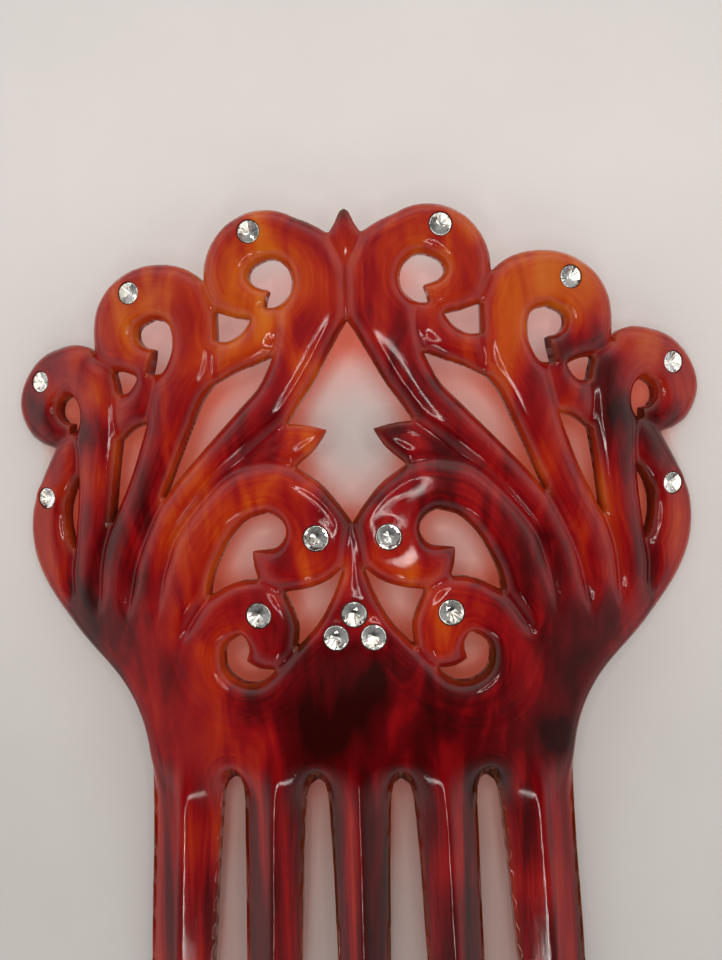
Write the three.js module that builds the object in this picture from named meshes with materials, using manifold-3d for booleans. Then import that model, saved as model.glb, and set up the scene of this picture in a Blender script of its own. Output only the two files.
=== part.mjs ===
// A bowed hair comb: one pierced and carved plate with five teeth, and round stones cemented in drilled pits.
// The plate is laid out flat first. x runs across it, y up it from near the roots of the teeth, z from back to front.
// The flat solid is then bowed about an axis along y and leaned until it rests as the real comb would.
import * as THREE from 'three';
import { mergeVertices } from 'three/addons/utils/BufferGeometryUtils.js';
import Module from 'manifold-3d';

const wasm = await Module();
wasm.setup();

// Driving dimensions, in millimetres.
const ORNAMENT_HEIGHT = 86.5; // tip of the finial
const TOOTH_LENGTH = 88;
const TIP_ROUND = 5; // length of a tooth's rounded end
const PLATE_THICKNESS = 3.4;
const RIDGE_HEIGHT = 0.9; // how far a carved limb stands over the plate
const TIP_THINNING = 0.4; // share of the thickness that a tooth loses by its tip
const BOW_RADIUS = 150; // of the front face, where lengths stay as they are on the flat layout
const STRIP_WIDTH = 10; // the bow is made of flat strips, and the middle one is flat across |x| < 5
const LEAN = THREE.MathUtils.degToRad(2.9); // teeth end down, so that rim and tooth tips both touch the table
const POINT_SPACING = 2.4; // along curved outlines

// Stones: round chatons, small ones round the rim and larger ones in the middle.
const RIM_STONE = 3.4;
const MIDDLE_STONE = 3.9;
const PAVILION_DEPTH = 0.42; // of the stone's diameter, below its girdle
const CROWN_HEIGHT = 0.13;
const TABLE_WIDTH = 0.58;
const STONE_SIDES = 16;
const SETTING_GAP = 0.15; // between stone, cement and pit
const CEMENT_DEPTH = 0.3;
const GIRDLE_DROP = 0.1; // the girdle lies this far under the plate's face

// Outlines. A run is a list of points along one smooth stretch, and corners lie between runs.
const at = (x, y) => new THREE.Vector3(x, y, 0);

function smooth(...corners) {
  const points = corners.map(([x, y]) => at(x, y));
  if (points.length === 2) return points;
  const curve = new THREE.CatmullRomCurve3(points, false, 'centripetal');
  return curve.getPoints(Math.max(points.length - 1, Math.round(curve.getLength() / POINT_SPACING)));
}

function arc(centreX, centreY, radius, fromDegrees, toDegrees) {
  const steps = Math.ceil(Math.abs(toDegrees - fromDegrees) / 14);
  const points = [];
  for (let i = 0; i <= steps; i += 1) {
    const angle = THREE.MathUtils.degToRad(fromDegrees + ((toDegrees - fromDegrees) * i) / steps);
    points.push(at(centreX + radius * Math.cos(angle), centreY + radius * Math.sin(angle)));
  }
  return points;
}

function contour(...runs) {
  const points = [];
  for (const point of runs.flat()) {
    if (points.length === 0 || point.distanceTo(points[points.length - 1]) > 0.2) points.push(point);
  }
  if (points[0].distanceTo(points[points.length - 1]) < 0.2) points.pop();
  return points;
}

const mirrored = (points) => points.map((p) => at(-p.x, p.y)).reverse();

// Teeth: each has its inner and outer edge as x at four heights below the roots, then a rounded tip.
const ROOT_LEVEL = -0.8;
const EDGE_HEIGHTS = [-3.2, -13, -32, TIP_ROUND - TOOTH_LENGTH];
const CENTRE_TOOTH_EDGE = [5.4, 4.7, 4.3, 3.3];
const SECOND_TOOTH_INNER = [8.1, 9.2, 10.2, 14];
const SECOND_TOOTH_OUTER = [19.1, 19, 19.5, 20.8];
const OUTER_TOOTH_INNER = [22, 23.4, 25.2, 31.4];
const OUTER_TOOTH_OUTER = [35, 35.4, 36.7, 39];
const GAP_ROOTS = [6.7, 20.6];

const edge = (xs) => xs.map((x, i) => [x, EDGE_HEIGHTS[i]]);

function toothTip(outerX, innerX) {
  const middle = (outerX + innerX) / 2;
  const half = (outerX - innerX) / 2;
  const points = [];
  for (let i = 1; i < 8; i += 1) {
    const angle = (Math.PI * i) / 8;
    points.push(at(middle + half * Math.cos(angle), EDGE_HEIGHTS[3] - TIP_ROUND * Math.sin(angle)));
  }
  return points;
}

// The right half of the silhouette, from the finial down to the middle tooth.
function rightSilhouette() {
  return [
    smooth([0, ORNAMENT_HEIGHT], [0.6, 86.2], [1.4, 84.6], [2.5, 82.9]),
    smooth([2.5, 82.9], [5.2, 84.5], [8, 85.7]),
    arc(12.9, 77.2, 9.8, 120, -3),
    smooth([22.7, 76.7], [24.2, 78], [26.7, 79.3], [30.5, 80], [34, 79.8], [36.8, 78.9], [40.1, 76.7],
      [42.3, 73.3], [42.9, 69.5], [42.7, 65.6]),
    smooth([42.7, 65.6], [43.6, 67.3], [46.3, 68.4], [50, 68.2], [54, 67], [57.5, 64], [59.5, 59.9],
      [59.3, 57.3], [57.5, 54], [55, 52.3], [52, 51.4]),
    smooth([52, 51.4], [54.9, 46.8], [56.9, 43.2], [57.9, 39.8], [57.6, 33.8], [54.9, 28], [48.4, 20.6],
      [39.6, 12.3], [36.3, 6], [35.1, -0.8], ...edge(OUTER_TOOTH_OUTER)),
    toothTip(OUTER_TOOTH_OUTER[3], OUTER_TOOTH_INNER[3]),
    smooth(...edge(OUTER_TOOTH_INNER).reverse(), [GAP_ROOTS[1], ROOT_LEVEL], ...edge(SECOND_TOOTH_OUTER)),
    toothTip(SECOND_TOOTH_OUTER[3], SECOND_TOOTH_INNER[3]),
    smooth(...edge(SECOND_TOOTH_INNER).reverse(), [GAP_ROOTS[0], ROOT_LEVEL], ...edge(CENTRE_TOOTH_EDGE)),
    toothTip(CENTRE_TOOTH_EDGE[3], -CENTRE_TOOTH_EDGE[3]).slice(0, 4),
  ].flat();
}

// Counterclockwise, so that ExtrudeGeometry turns the openings the right way itself.
function silhouette() {
  const right = rightSilhouette();
  return contour(right, mirrored(right)).reverse();
}

// Openings of the right half, each named after what it lies in.
const eyeOfTopScroll = () => contour(
  smooth([12.6, 79.5], [14.9, 78.2], [15.3, 76.8], [14.3, 75.5], [12, 74.7]),
  smooth([12, 74.7], [12.5, 73.5], [12.8, 72.1]),
  smooth([12.8, 72.1], [10.9, 72.2], [8.8, 74], [8.4, 76], [9.1, 78], [10.8, 79.4], [12.6, 79.5]),
);
const eyeOfSideScroll = () => contour(
  smooth([31.8, 71.5], [34.4, 70.3], [34.8, 69], [34, 67.5], [31.7, 66.7]),
  smooth([31.7, 66.7], [32, 64.8], [32.6, 62.7]),
  smooth([32.6, 62.7], [30.5, 62.9], [29, 65.1], [28.4, 67.8], [29.1, 70.5], [31.8, 71.5]),
);
const eyeOfLowScroll = () => contour(
  smooth([48.3, 60.3], [50.5, 59.1], [50.9, 57.1], [49.8, 55.7], [48.4, 55.5]),
  smooth([48.4, 55.5], [48.5, 53.6]),
  smooth([48.5, 53.6], [46.8, 54.5], [46.2, 56.8], [46.7, 58.9], [48.3, 60.3]),
);
const wedgeUnderTopScroll = () => contour(
  smooth([20.9, 71.9], [17.8, 70.9], [15.1, 70.4]),
  smooth([15.1, 70.4], [16.6, 68.5], [18.8, 67.3], [20.9, 67.3]),
);
const wedgeUnderSideScroll = () => contour(
  smooth([34.8, 62.4], [37.1, 63.3], [39.6, 63.7]),
  smooth([39.6, 63.7], [38.9, 61.2], [38.7, 59.8]),
  smooth([38.7, 59.8], [36.7, 60.1], [34.8, 62.4]),
);
const slitInRim = () => contour(
  smooth([47, 46.7], [49.1, 43.9], [50.2, 40.3], [49.8, 36.6], [48.6, 33.9]),
  smooth([48.6, 33.9], [48.2, 37.3], [47.7, 40.9], [47, 46.7]),
);
const outerLeafOpening = () => contour(
  smooth([33.4, 55], [36.1, 54.2], [38.8, 52.4]),
  smooth([38.8, 52.4], [39.7, 47.5], [41, 38.4]),
  smooth([41, 38.4], [36.9, 46.2], [33.4, 55]),
);
const innerLeafOpening = () => contour(
  smooth([31.4, 42.1], [29.1, 47.2], [25.3, 55.2], [23.7, 58.3], [21.9, 60.6]),
  smooth([21.9, 60.6], [18.1, 62.4], [14.9, 63.5], [11.7, 64.7]),
  smooth([11.7, 64.7], [14.3, 59.9], [17.7, 56.4], [25.2, 48.9], [28.8, 45.2], [31.4, 42.1]),
);
const bellOpening = () => contour(
  smooth([13.4, 40.3], [11.5, 39.3], [10.6, 37.6], [11, 36], [12.3, 34.8], [13.8, 34.5], [16.1, 34.2]),
  smooth([16.1, 34.2], [15.9, 31.9], [15.3, 29.8]),
  smooth([15.3, 29.8], [19.1, 29.3], [23.7, 27.1]),
  smooth([23.7, 27.1], [23.1, 30], [21.6, 33.3], [19.7, 36.4], [16.8, 39.2], [13.4, 40.3]),
);
const eyeOfFootScroll = () => contour(
  smooth([18.2, 21.1], [21, 19.2], [21.5, 16.8], [20.8, 14.7], [18.1, 13.1], [15.4, 13.4], [12.9, 15.4]),
  smooth([12.9, 15.4], [15.6, 15.6], [17.7, 16.7]),
  smooth([17.7, 16.7], [17.2, 18.9], [18.2, 21.1]),
);
const openingUnderBell = () => contour(
  smooth([1.4, 31.9], [3.9, 29.7], [7.3, 28.4], [11.2, 27.8]),
  smooth([11.2, 27.8], [10, 25.3], [9.1, 22.5], [9.3, 19]),
  smooth([9.3, 19], [6, 22.6], [3.8, 26.2], [1.4, 31.9]),
);

// The opening on the centre line: an arch between the two main limbs, nipped by a leaf tip on each side.
function archOpening() {
  const right = [
    smooth([0, 69.7], [1.1, 68], [3.3, 64.2], [5.8, 59.9], [7.7, 57.3], [9.9, 54.1]),
    smooth([9.9, 54.1], [6.8, 53.8], [3.6, 53]),
    smooth([3.6, 53], [5.5, 50.2], [8.7, 47.4]),
    smooth([8.7, 47.4], [6.4, 45.9], [4.3, 44.2], [1.6, 40.9], [0, 38.5]),
  ].flat();
  return contour(right, mirrored(right));
}

function openings() {
  const right = [eyeOfTopScroll, eyeOfSideScroll, eyeOfLowScroll, wedgeUnderTopScroll, wedgeUnderSideScroll,
    slitInRim, outerLeafOpening, innerLeafOpening, bellOpening, eyeOfFootScroll, openingUnderBell]
    .map((make) => make());
  return [archOpening(), ...right, ...right.map(mirrored)];
}

// Carved limbs: each is a spine with a half-width at its start, middle and end.
const LIMBS = [
  { spine: [[2.3, 80.4], [4.1, 75.4], [4.7, 70.8], [7.1, 65.6], [10.9, 60.1], [17.9, 52.8], [25, 45.3], [30.3, 37.8], [33.8, 29.7],
    [34.6, 22.1]], widths: [0.6, 2.1, 1] },
  { spine: [[25, 73.9], [25.8, 68.6], [27.3, 61.7], [32.6, 50], [37.1, 40.5], [40.2, 32.7], [39.9, 27.5]],
    widths: [0.9, 1.9, 0.9] },
  { spine: [[42.8, 60.1], [43.7, 53], [44.5, 44.4], [45.8, 37.3], [45.7, 30.2]], widths: [0.9, 1.3, 0.8] },
  { spine: [[4, 38.6], [5.4, 41.5], [8.2, 43.8], [11.9, 44.7], [15.7, 44.3], [19.3, 42], [22.3, 38.8], [25.4, 34.8],
    [28, 28.7], [28.9, 19.6]], widths: [0.9, 1.7, 0.9] },
  { spine: [[4.8, 18.1], [10, 14.2], [13.7, 11.4], [18.4, 9.8], [22.9, 11], [25.8, 14.1], [26.4, 18.1]],
    widths: [0.8, 1.5, 0.8] },
];

function halfWidth([start, middle, end], t) {
  return t < 0.5 ? THREE.MathUtils.lerp(start, middle, t * 2) : THREE.MathUtils.lerp(middle, end, t * 2 - 1);
}

// A limb is a closed tube of six-sided sections, sunk in the plate and standing over it.
function limbGeometry({ spine, widths }, side) {
  const curve = new THREE.CatmullRomCurve3(spine.map(([x, y]) => at(side * x, y)), false, 'centripetal');
  const steps = Math.round(curve.getLength() / 4);
  const positions = [];
  const indices = [];
  for (let i = 0; i <= steps; i += 1) {
    const t = i / steps;
    const point = curve.getPointAt(t);
    const tangent = curve.getTangentAt(t);
    const half = halfWidth(widths, t);
    const section = [[-1, 1], [1, 1], [1, PLATE_THICKNESS + 0.1], [0.35, PLATE_THICKNESS + RIDGE_HEIGHT],
      [-0.35, PLATE_THICKNESS + RIDGE_HEIGHT], [-1, PLATE_THICKNESS + 0.1]];
    for (const [across, z] of section) {
      positions.push(point.x + tangent.y * half * across, point.y - tangent.x * half * across, z);
    }
  }
  const sides = 6;
  for (let i = 0; i < steps; i += 1) {
    for (let j = 0; j < sides; j += 1) {
      const a = i * sides + j;
      const b = i * sides + ((j + 1) % sides);
      indices.push(a, a + sides, b, b, a + sides, b + sides);
    }
  }
  const last = steps * sides;
  for (let j = 1; j < sides - 1; j += 1) {
    indices.push(0, j, j + 1);
    indices.push(last, last + j + 1, last + j);
  }
  const geometry = new THREE.BufferGeometry();
  geometry.setAttribute('position', new THREE.Float32BufferAttribute(positions, 3));
  geometry.setIndex(indices);
  return geometry;
}

// Solids for joining and cutting.
function toSolid(geometry) {
  const bare = geometry.clone();
  bare.deleteAttribute('normal');
  bare.deleteAttribute('uv');
  const merged = mergeVertices(bare, 1e-4);
  return new wasm.Manifold(new wasm.Mesh({
    numProp: 3,
    vertProperties: new Float32Array(merged.attributes.position.array),
    triVerts: new Uint32Array(merged.index.array),
  }));
}

function flatPlate() {
  const shape = new THREE.Shape(silhouette().map((p) => new THREE.Vector2(p.x, p.y)));
  shape.holes = openings().map((points) => new THREE.Path(points.map((p) => new THREE.Vector2(p.x, p.y))));
  return new THREE.ExtrudeGeometry(shape, { depth: PLATE_THICKNESS, bevelEnabled: false });
}

function flatBody() {
  let solid = toSolid(flatPlate());
  for (const limb of LIMBS) {
    for (const side of [1, -1]) solid = solid.add(toSolid(limbGeometry(limb, side)));
  }
  const mesh = solid.getMesh();
  return { positions: Array.from(mesh.vertProperties), triangles: Array.from(mesh.triVerts) };
}

// Splits every triangle that crosses the plane x = cut, so that the bow can fold there.
function splitAt(mesh, cut) {
  const { positions, triangles } = mesh;
  const made = new Map();
  const sideOf = (v) => {
    const distance = positions[v * 3] - cut;
    return Math.abs(distance) < 1e-3 ? 0 : Math.sign(distance);
  };
  const crossing = (a, b) => {
    const key = a < b ? `${a}_${b}` : `${b}_${a}`;
    if (!made.has(key)) {
      const [from, to] = a < b ? [a * 3, b * 3] : [b * 3, a * 3];
      const t = (cut - positions[from]) / (positions[to] - positions[from]);
      made.set(key, positions.length / 3);
      positions.push(cut);
      for (const k of [1, 2]) positions.push(THREE.MathUtils.lerp(positions[from + k], positions[to + k], t));
    }
    return made.get(key);
  };
  const split = [];
  for (let i = 0; i < triangles.length; i += 3) {
    const corners = triangles.slice(i, i + 3);
    for (const wanted of [1, -1]) {
      const kept = [];
      corners.forEach((a, k) => {
        const b = corners[(k + 1) % 3];
        if (sideOf(a) !== -wanted) kept.push(a);
        if (sideOf(a) * sideOf(b) < 0) kept.push(crossing(a, b));
      });
      const isOnThisSide = kept.some((v) => sideOf(v) === wanted);
      const liesInPlane = wanted === 1 && corners.every((v) => sideOf(v) === 0);
      if (!isOnThisSide && !liesInPlane) continue;
      for (let k = 1; k < kept.length - 1; k += 1) split.push(kept[0], kept[k], kept[k + 1]);
    }
  }
  mesh.triangles = split;
}

// The bow: each strip between two fold lines stays flat.
const stripOf = (x) => Math.round(x / STRIP_WIDTH);
const foldAngle = (index) => ((index - 0.5) * STRIP_WIDTH) / BOW_RADIUS;

function bowed(x, y, z) {
  const strip = stripOf(x);
  const t = x / STRIP_WIDTH - strip + 0.5;
  const backRadius = BOW_RADIUS - PLATE_THICKNESS;
  const radius = backRadius + z;
  return new THREE.Vector3(
    radius * THREE.MathUtils.lerp(Math.sin(foldAngle(strip)), Math.sin(foldAngle(strip + 1)), t),
    y,
    radius * THREE.MathUtils.lerp(Math.cos(foldAngle(strip)), Math.cos(foldAngle(strip + 1)), t) - backRadius,
  );
}

const thinning = (y) => 1 - TIP_THINNING * Math.max(0, -y) / TOOTH_LENGTH;

function bowedBody() {
  const mesh = flatBody();
  const halfStrips = Math.ceil(60 / STRIP_WIDTH);
  for (let i = -halfStrips; i < halfStrips; i += 1) splitAt(mesh, (i + 0.5) * STRIP_WIDTH);
  for (let i = 0; i < mesh.positions.length; i += 3) {
    const [x, y, z] = mesh.positions.slice(i, i + 3);
    bowed(x, y, z * thinning(y)).toArray(mesh.positions, i);
  }
  return new wasm.Manifold(new wasm.Mesh({
    numProp: 3,
    vertProperties: new Float32Array(mesh.positions),
    triVerts: new Uint32Array(mesh.triangles),
  }));
}

// Stone places on the flat layout: the centre line has one, all others come in mirrored pairs.
const CENTRE_STONE = [0, 24.5];
const PAIRED_STONES = [
  { place: [14.6, 83.4], diameter: RIM_STONE },
  { place: [35, 75.6], diameter: RIM_STONE },
  { place: [53.3, 62.6], diameter: RIM_STONE },
  { place: [53, 43.1], diameter: RIM_STONE },
  { place: [5.6, 36.4], diameter: MIDDLE_STONE },
  { place: [15, 24.4], diameter: MIDDLE_STONE },
  { place: [2.9, 20.9], diameter: MIDDLE_STONE },
];

function stonePlaces() {
  const places = [{ place: CENTRE_STONE, diameter: MIDDLE_STONE }];
  for (const { place: [x, y], diameter } of PAIRED_STONES) {
    places.push({ place: [-x, y], diameter }, { place: [x, y], diameter });
  }
  return places;
}

// A turned solid about z, from a profile of [radius, z] points that starts and ends on the axis.
function turned(profile) {
  const geometry = new THREE.LatheGeometry(profile.map(([r, z]) => new THREE.Vector2(r, z)), STONE_SIDES);
  return geometry.rotateX(Math.PI / 2);
}

function stoneGeometry(diameter) {
  const r = diameter / 2;
  const depth = diameter * PAVILION_DEPTH;
  const top = diameter * CROWN_HEIGHT;
  return turned([[0, -depth], [r, -0.05], [r, 0.05], [r * TABLE_WIDTH, top], [0, top]]);
}

function cementGeometry(diameter) {
  const r = diameter / 2;
  const point = -SETTING_GAP - diameter * PAVILION_DEPTH;
  return turned([[0, point - CEMENT_DEPTH], [r, -SETTING_GAP - CEMENT_DEPTH], [r, -SETTING_GAP], [0, point]]);
}

function pitGeometry(diameter) {
  const r = diameter / 2 + SETTING_GAP;
  const rim = -2 * SETTING_GAP - CEMENT_DEPTH;
  return turned([[0, rim - diameter * PAVILION_DEPTH], [r, rim], [r, 3], [0, 3]]);
}

// Where a stone sits: its girdle's centre, with z along the strip's own normal.
function seatMatrix([x, y]) {
  const position = bowed(x, y, PLATE_THICKNESS - GIRDLE_DROP);
  const turn = new THREE.Matrix4().makeRotationY((stripOf(x) * STRIP_WIDTH) / BOW_RADIUS);
  return turn.setPosition(position);
}

function bodyGeometry(places) {
  let solid = bowedBody();
  for (const { place, diameter } of places) {
    solid = solid.subtract(toSolid(pitGeometry(diameter).applyMatrix4(seatMatrix(place))));
  }
  const mesh = solid.getMesh();
  const geometry = new THREE.BufferGeometry();
  geometry.setAttribute('position', new THREE.Float32BufferAttribute(mesh.vertProperties, 3));
  geometry.setIndex(Array.from(mesh.triVerts));
  return geometry;
}

function addMesh(parent, name, geometry, settings, matrix) {
  const mesh = new THREE.Mesh(geometry, new THREE.MeshStandardMaterial(settings));
  mesh.name = name;
  if (matrix) mesh.applyMatrix4(matrix);
  parent.add(mesh);
}

const TORTOISESHELL = { color: 0x8a1e12, roughness: 0.15, metalness: 0 };
const CLEAR_GLASS = { color: 0xdfe3e6, roughness: 0.03, metalness: 0.2 };
const DARK_CEMENT = { color: 0x2a1612, roughness: 0.6, metalness: 0 };

const comb = new THREE.Group();
const places = stonePlaces();
addMesh(comb, 'comb_body', bodyGeometry(places), TORTOISESHELL);
places.forEach(({ place, diameter }, i) => {
  const number = String(i + 1).padStart(2, '0');
  addMesh(comb, `rhinestone_${number}`, stoneGeometry(diameter), CLEAR_GLASS, seatMatrix(place));
  addMesh(comb, `cement_bed_${number}`, cementGeometry(diameter), DARK_CEMENT, seatMatrix(place));
});

// Leaned to its resting pose, then moved so that the middle of its lowest level is the origin.
comb.rotation.x = LEAN;
comb.updateMatrixWorld(true);
const box = new THREE.Box3().setFromObject(comb, true);
const middle = box.getCenter(new THREE.Vector3());
comb.position.set(-middle.x, -middle.y, -box.min.z);

export default comb;
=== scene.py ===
"""Looks of a carved tortoiseshell hair comb set with round rhinestones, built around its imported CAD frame.

The comb is worked out on a flat layout in millimetres: x across, y up from near the roots of the teeth and z
from back to front. It is then bowed about an axis along y, leaned as it lies on a table, and placed by
the frame.
"""
from math import ceil, cos, pi, radians, sin

import bmesh
import bpy
import numpy as np
from mathutils import Matrix, Vector


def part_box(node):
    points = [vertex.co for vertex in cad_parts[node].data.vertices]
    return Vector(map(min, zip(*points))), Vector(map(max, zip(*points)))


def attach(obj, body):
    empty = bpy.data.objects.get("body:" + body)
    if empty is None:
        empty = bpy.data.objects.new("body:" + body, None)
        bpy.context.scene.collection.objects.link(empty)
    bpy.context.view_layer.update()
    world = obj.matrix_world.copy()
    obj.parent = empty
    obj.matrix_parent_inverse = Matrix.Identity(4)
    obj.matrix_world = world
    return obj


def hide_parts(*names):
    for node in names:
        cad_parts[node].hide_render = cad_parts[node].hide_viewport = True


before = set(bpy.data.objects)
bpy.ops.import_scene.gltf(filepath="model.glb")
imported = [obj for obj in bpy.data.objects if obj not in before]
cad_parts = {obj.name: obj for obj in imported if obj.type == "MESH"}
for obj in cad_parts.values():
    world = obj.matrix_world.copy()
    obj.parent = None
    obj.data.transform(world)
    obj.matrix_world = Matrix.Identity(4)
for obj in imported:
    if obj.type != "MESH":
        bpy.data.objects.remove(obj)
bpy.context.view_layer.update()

MM = 0.001

# Driving dimensions of the comb, in millimetres.
ORNAMENT_HEIGHT = 86.5
TOOTH_LENGTH = 88.0
TIP_ROUND = 5.0
PLATE_THICKNESS = 3.4
TIP_THINNING = 0.4
BOW_RADIUS = 150.0  # of the front face
BACK_RADIUS = BOW_RADIUS - PLATE_THICKNESS
LEAN = radians(2.9)

# Relief: a sawn wall, and a crown that swells away from every edge and groove.
RIM_HEIGHT = 1.75  # top of the sawn wall
BACK_EDGE = 0.45  # how far the back face is rounded up at its edges
ROOT_SLOPE = 1.8  # how far the wall at the root of a gap slopes into the gap
CROWN_RISE = 2.0  # most that a crown rises over the rim
SWELL_REACH = 4.5  # how far from an edge the crown goes on rising
SWELL_GAIN = 0.62
SWELL_POWER = 0.75
SEAT_LEVEL = 3.42  # height of the carved face round a stone
SEAT_CURVE = 0.02  # how gently the face rises away from a stone
TOOTH_RIM = 1.2  # where a tooth's face leaves its wall
TOOTH_SHOULDER = 0.35  # steep part of a tooth's rise from its edge
TOOTH_SLOPE = 0.45  # of the two flanks that meet in its crest

# Stones.
RIM_STONE = 3.4
MIDDLE_STONE = 3.9
SETTING_GAP = 0.15
GIRDLE_DROP = 0.1
POINT_DEPTH = 0.42  # of a stone's diameter, from its girdle down to its point
CEMENT_DEPTH = 0.3
CENTRE_STONE = (0, 24.5)
PAIRED_STONES = [
    ((14.6, 83.4), RIM_STONE),
    ((35, 75.6), RIM_STONE),
    ((53.3, 62.6), RIM_STONE),
    ((53, 43.1), RIM_STONE),
    ((5.6, 36.4), MIDDLE_STONE),
    ((15, 24.4), MIDDLE_STONE),
    ((2.9, 20.9), MIDDLE_STONE),
]

# Grid of the carved faces.
CELL = 0.4
TOOTH_CELL = 1.2  # along the teeth
FINE_ABOVE = -5.0
HALF_WIDTH = 60.8
SWELL_STEPS = 700  # of relaxation
LINE_STEP = 0.5  # between points of an outline


# ---------------- outlines on the flat layout

def smooth(*corners):
    """A centripetal Catmull-Rom curve through the corners."""
    points = np.array(corners, float)
    if len(points) == 2:
        return points
    ends = np.vstack([2 * points[0] - points[1], points, 2 * points[-1] - points[-2]])
    run = []
    for a, b, c, d in zip(ends, ends[1:], ends[2:], ends[3:]):
        before, span, after = (np.linalg.norm(q - p) ** 0.5 for p, q in ((a, b), (b, c), (c, d)))
        leave = ((b - a) / before - (c - a) / (before + span) + (c - b) / span) * span
        arrive = ((c - b) / span - (d - b) / (span + after) + (d - c) / after) * span
        for t in np.linspace(0, 1, max(2, ceil(np.linalg.norm(c - b) / LINE_STEP)), endpoint=False):
            run.append(
                (2 * t**3 - 3 * t**2 + 1) * b
                + (t**3 - 2 * t**2 + t) * leave
                + (3 * t**2 - 2 * t**3) * c
                + (t**3 - t**2) * arrive
            )
    run.append(points[-1])
    return np.array(run)


def arc(centre_x, centre_y, radius, start, end):
    angles = np.radians(np.linspace(start, end, ceil(abs(radians(end - start)) * radius / LINE_STEP) + 1))
    return np.column_stack([centre_x + radius * np.cos(angles), centre_y + radius * np.sin(angles)])


def mirrored(points):
    return (points * (-1, 1))[::-1]


def chained(*runs):
    return np.vstack(runs)


# Teeth: how far each edge lies from the centre line at each of the four heights.
ROOT_LEVEL = -0.8
EDGE_HEIGHTS = [-3.2, -13, -32, TIP_ROUND - TOOTH_LENGTH]
CENTRE_TOOTH_EDGE = [5.4, 4.7, 4.3, 3.3]
SECOND_TOOTH_INNER = [8.1, 9.2, 10.2, 14]
SECOND_TOOTH_OUTER = [19.1, 19, 19.5, 20.8]
OUTER_TOOTH_INNER = [22, 23.4, 25.2, 31.4]
OUTER_TOOTH_OUTER = [35, 35.4, 36.7, 39]
GAP_ROOTS = [6.7, 20.6]


def edge(xs):
    return list(zip(xs, EDGE_HEIGHTS))


def tooth_tip(outer_x, inner_x):
    angles = np.linspace(0, pi, 26)[1:-1]
    middle, half = (outer_x + inner_x) / 2, (outer_x - inner_x) / 2
    return np.column_stack([middle + half * np.cos(angles), EDGE_HEIGHTS[3] - TIP_ROUND * np.sin(angles)])


def silhouette():
    centre_tip = tooth_tip(CENTRE_TOOTH_EDGE[3], -CENTRE_TOOTH_EDGE[3])
    right = chained(
        smooth((0, ORNAMENT_HEIGHT), (0.6, 86.2), (1.4, 84.6), (2.5, 82.9)),
        smooth((2.5, 82.9), (5.2, 84.5), (8, 85.7)),
        arc(12.9, 77.2, 9.8, 120, -3),
        smooth((22.7, 76.7), (24.2, 78), (26.7, 79.3), (30.5, 80), (34, 79.8), (36.8, 78.9), (40.1, 76.7),
               (42.3, 73.3), (42.9, 69.5), (42.7, 65.6)),
        smooth((42.7, 65.6), (43.6, 67.3), (46.3, 68.4), (50, 68.2), (54, 67), (57.5, 64), (59.5, 59.9),
               (59.3, 57.3), (57.5, 54), (55, 52.3), (52, 51.4)),
        smooth((52, 51.4), (54.9, 46.8), (56.9, 43.2), (57.9, 39.8), (57.6, 33.8), (54.9, 28), (48.4, 20.6),
               (39.6, 12.3), (36.3, 6), (35.1, -0.8), *edge(OUTER_TOOTH_OUTER)),
        tooth_tip(OUTER_TOOTH_OUTER[3], OUTER_TOOTH_INNER[3]),
        smooth(*edge(OUTER_TOOTH_INNER)[::-1], (GAP_ROOTS[1], ROOT_LEVEL), *edge(SECOND_TOOTH_OUTER)),
        tooth_tip(SECOND_TOOTH_OUTER[3], SECOND_TOOTH_INNER[3]),
        smooth(*edge(SECOND_TOOTH_INNER)[::-1], (GAP_ROOTS[0], ROOT_LEVEL), *edge(CENTRE_TOOTH_EDGE)),
        centre_tip[: len(centre_tip) // 2],
    )
    return chained(right, mirrored(right))


# Flat-cut ends of the crooks, where the crown keeps its height up to the wall.
TOP_CUT = smooth((12, 74.7), (12.5, 73.5), (12.8, 72.1))
SIDE_CUT = smooth((31.7, 66.7), (32, 64.8), (32.6, 62.7))
LOW_CUT = smooth((48.4, 55.5), (48.5, 53.6))

# Openings of the right half, each a closed chain of runs between corners.
EYE_OF_TOP_SCROLL = chained(
    smooth((12.8, 72.1), (10.9, 72.2), (8.8, 74), (8.4, 76), (9.1, 78), (10.8, 79.4), (12.6, 79.5)),
    smooth((12.6, 79.5), (14.9, 78.2), (15.3, 76.8), (14.3, 75.5), (12, 74.7)),
    TOP_CUT,
)
EYE_OF_SIDE_SCROLL = chained(
    smooth((32.6, 62.7), (30.5, 62.9), (29, 65.1), (28.4, 67.8), (29.1, 70.5), (31.8, 71.5)),
    smooth((31.8, 71.5), (34.4, 70.3), (34.8, 69), (34, 67.5), (31.7, 66.7)),
    SIDE_CUT,
)
EYE_OF_LOW_SCROLL = chained(
    smooth((48.5, 53.6), (46.8, 54.5), (46.2, 56.8), (46.7, 58.9), (48.3, 60.3)),
    smooth((48.3, 60.3), (50.5, 59.1), (50.9, 57.1), (49.8, 55.7), (48.4, 55.5)),
    LOW_CUT,
)
WEDGE_UNDER_TOP_SCROLL = chained(
    smooth((20.9, 71.9), (17.8, 70.9), (15.1, 70.4)),
    smooth((15.1, 70.4), (16.6, 68.5), (18.8, 67.3), (20.9, 67.3)),
)
WEDGE_UNDER_SIDE_SCROLL = chained(
    smooth((34.8, 62.4), (37.1, 63.3), (39.6, 63.7)),
    smooth((39.6, 63.7), (38.9, 61.2), (38.7, 59.8)),
    smooth((38.7, 59.8), (36.7, 60.1), (34.8, 62.4)),
)
SLIT_IN_RIM = chained(
    smooth((47, 46.7), (49.1, 43.9), (50.2, 40.3), (49.8, 36.6), (48.6, 33.9)),
    smooth((48.6, 33.9), (48.2, 37.3), (47.7, 40.9), (47, 46.7)),
)
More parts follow.
